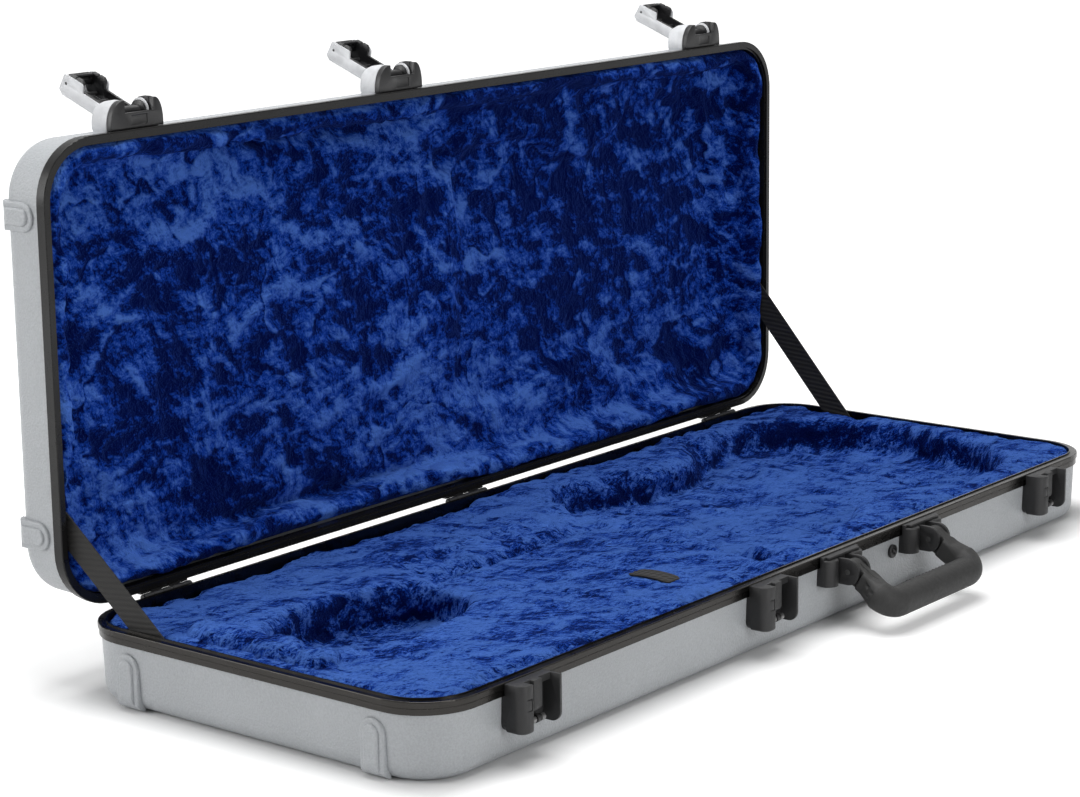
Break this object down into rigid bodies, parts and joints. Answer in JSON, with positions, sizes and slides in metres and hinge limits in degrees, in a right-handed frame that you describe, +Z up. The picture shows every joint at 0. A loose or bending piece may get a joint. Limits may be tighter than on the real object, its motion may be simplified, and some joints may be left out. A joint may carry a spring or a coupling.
{
  "type": "electric guitar case",
  "caption": "Open moulded electric guitar case with a plush lining, aluminium rims, trigger latches, hinged lid and a folding handle.",
  "frame": {"origin": "centre of the base's flat underside", "axes": "+X along the length, away from the headstock end; +Y from the latches to the hinges; +Z up"},
  "size_m": [1.0528, 0.5644, 0.5127],
  "materials": {
    "shell": "satin",
    "rim": "satin",
    "plush": "matte",
    "plush_lid": "matte",
    "board": "matte",
    "webbing": "matte",
    "latch_body": "satin",
    "black_plastic": "satin",
    "silver_plastic": "satin",
    "grip": "matte",
    "black_metal": "satin",
    "steel": "satin"
  },
  "bodies": {
    "base": {"base_shell": "shell", "base_rim": "rim", "head_cushion": "plush", "hinge_base_rivets": "steel", "latch_rollers": "steel", "handle_bracket_left": "latch_body", "handle_bracket_right": "latch_body", "handle_pins": "steel", "pressure_plug": "black_plastic", "stay_left": "webbing", "stay_right": "webbing", "stay_base_anchors": "steel", "hinge_1_base_leaf": "black_metal", "hinge_2_base_leaf": "black_metal", "hinge_3_base_leaf": "black_metal", "hinge_1_pin": "black_metal", "hinge_2_pin": "black_metal", "hinge_3_pin": "black_metal", "latch_1_housing": "latch_body", "latch_2_housing": "latch_body", "latch_3_housing": "latch_body", "lining_floor": "plush", "lining_head_floor": "plush", "lining_head_front": "plush", "lining_head_back": "plush", "lining_neck": "plush", "lining_body_floor": "plush", "lining_body_front": "plush", "lining_body_back": "plush"},
    "lid": {"lid_shell": "shell", "lid_rim": "rim", "lid_lining": "plush_lid", "lid_patch": "plush_lid", "hinge_lid_rivets": "steel", "latch_pins": "steel", "stay_lid_anchors": "steel", "hinge_1_lid_leaf": "black_metal", "hinge_2_lid_leaf": "black_metal", "hinge_3_lid_leaf": "black_metal", "latch_1_saddle": "black_plastic", "latch_2_saddle": "black_plastic", "latch_3_saddle": "black_plastic", "latch_1_cover": "silver_plastic", "latch_2_cover": "silver_plastic", "latch_3_cover": "silver_plastic"},
    "handle": {"handle": "grip"},
    "accessory_lid": {"accessory_board": "board", "accessory_pad": "plush", "accessory_pull_tab": "webbing"},
    "lever_1": {"latch_1_lever": "silver_plastic", "latch_1_frame": "black_plastic"},
    "trigger_1": {"latch_1_trigger": "black_plastic"},
    "lever_2": {"latch_2_lever": "silver_plastic", "latch_2_frame": "black_plastic"},
    "trigger_2": {"latch_2_trigger": "black_plastic"},
    "lever_3": {"latch_3_lever": "silver_plastic", "latch_3_frame": "black_plastic"},
    "trigger_3": {"latch_3_trigger": "black_plastic"}
  },
  "joints": [
    {"name": "lid_hinge", "type": "hinge", "parent": "base", "child": "lid", "pos_m": [0, 0.2042, 0.066], "axis": [1, 0, 0], "range_deg": [0, 90], "deforming": ["stay_left", "stay_right"]},
    {"name": "handle_pivot", "type": "hinge", "parent": "base", "child": "handle", "pos_m": [0.1055, -0.217, 0.052], "axis": [-1, 0, 0], "range_deg": [0, 100]},
    {"name": "accessory_lid_hinge", "type": "hinge", "parent": "base", "child": "accessory_lid", "pos_m": [-0.119, 0.0528, 0.056], "axis": [1, 0, 0], "range_deg": [-95, 0]},
    {"name": "latch_1_lever_pivot", "type": "hinge", "parent": "lid", "child": "lever_1", "pos_m": [-0.4105, 0.226, 0.4835], "axis": [1, 0, 0], "range_deg": [0, 158.4]},
    {"name": "latch_1_trigger_pivot", "type": "hinge", "parent": "lever_1", "child": "trigger_1", "pos_m": [-0.4105, 0.28373, 0.50474], "axis": [-1, 0, 0], "range_deg": [0, 9], "stiffness_Nm_per_rad": 0.02},
    {"name": "latch_2_lever_pivot", "type": "hinge", "parent": "lid", "child": "lever_2", "pos_m": [-0.0755, 0.226, 0.4835], "axis": [1, 0, 0], "range_deg": [0, 158.4]},
    {"name": "latch_2_trigger_pivot", "type": "hinge", "parent": "lever_2", "child": "trigger_2", "pos_m": [-0.0755, 0.28373, 0.50474], "axis": [-1, 0, 0], "range_deg": [0, 9], "stiffness_Nm_per_rad": 0.02},
    {"name": "latch_3_lever_pivot", "type": "hinge", "parent": "lid", "child": "lever_3", "pos_m": [0.4085, 0.226, 0.4835], "axis": [1, 0, 0], "range_deg": [0, 158.4]},
    {"name": "latch_3_trigger_pivot", "type": "hinge", "parent": "lever_3", "child": "trigger_3", "pos_m": [0.4085, 0.28373, 0.50474], "axis": [-1, 0, 0], "range_deg": [0, 9], "stiffness_Nm_per_rad": 0.02}
  ]
}
